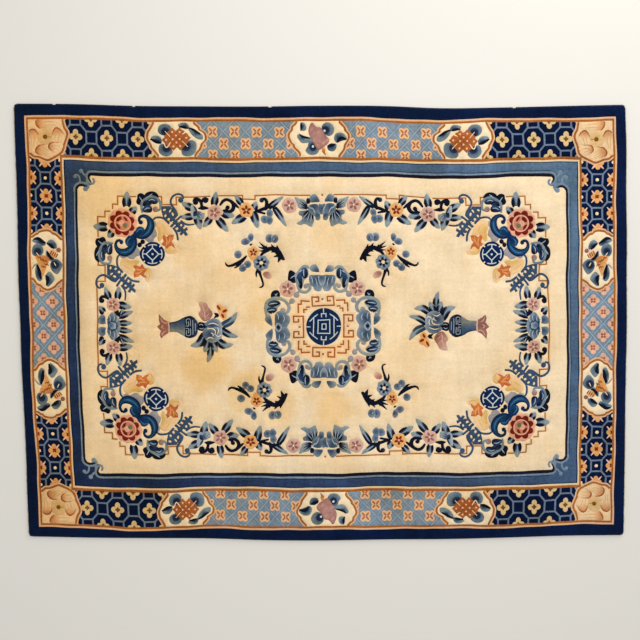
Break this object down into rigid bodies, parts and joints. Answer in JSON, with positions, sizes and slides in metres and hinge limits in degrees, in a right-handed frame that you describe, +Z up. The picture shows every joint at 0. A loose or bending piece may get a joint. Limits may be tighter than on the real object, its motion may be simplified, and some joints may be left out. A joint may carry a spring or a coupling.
{
  "type": "hand-knotted wool floor rug",
  "caption": "A flat rectangular wool pile rug with oversewn long edges and turned cotton ends, patterned with flowers, vases, fretwork and a central medallion.",
  "frame": {"origin": "on the floor, under the middle of the rug's box", "axes": "+X along the rug's length, +Y towards the long edge that is at the top of the picture, +Z up through the pile"},
  "size_m": [2.676, 1.9308, 0.014],
  "materials": {
    "pile_wool": "clipped and carved wool pile, cream field with navy border, matte with a soft sheen",
    "navy_wool": "navy wool yarn wound over cotton edge cords, matte",
    "web_cotton": "off-white plain-woven cotton, matte"
  },
  "bodies": {
    "root": {"rug_body": "pile_wool", "selvedge_back": "navy_wool", "selvedge_front": "navy_wool", "end_web_left": "web_cotton", "end_web_right": "web_cotton"}
  },
  "joints": []
}
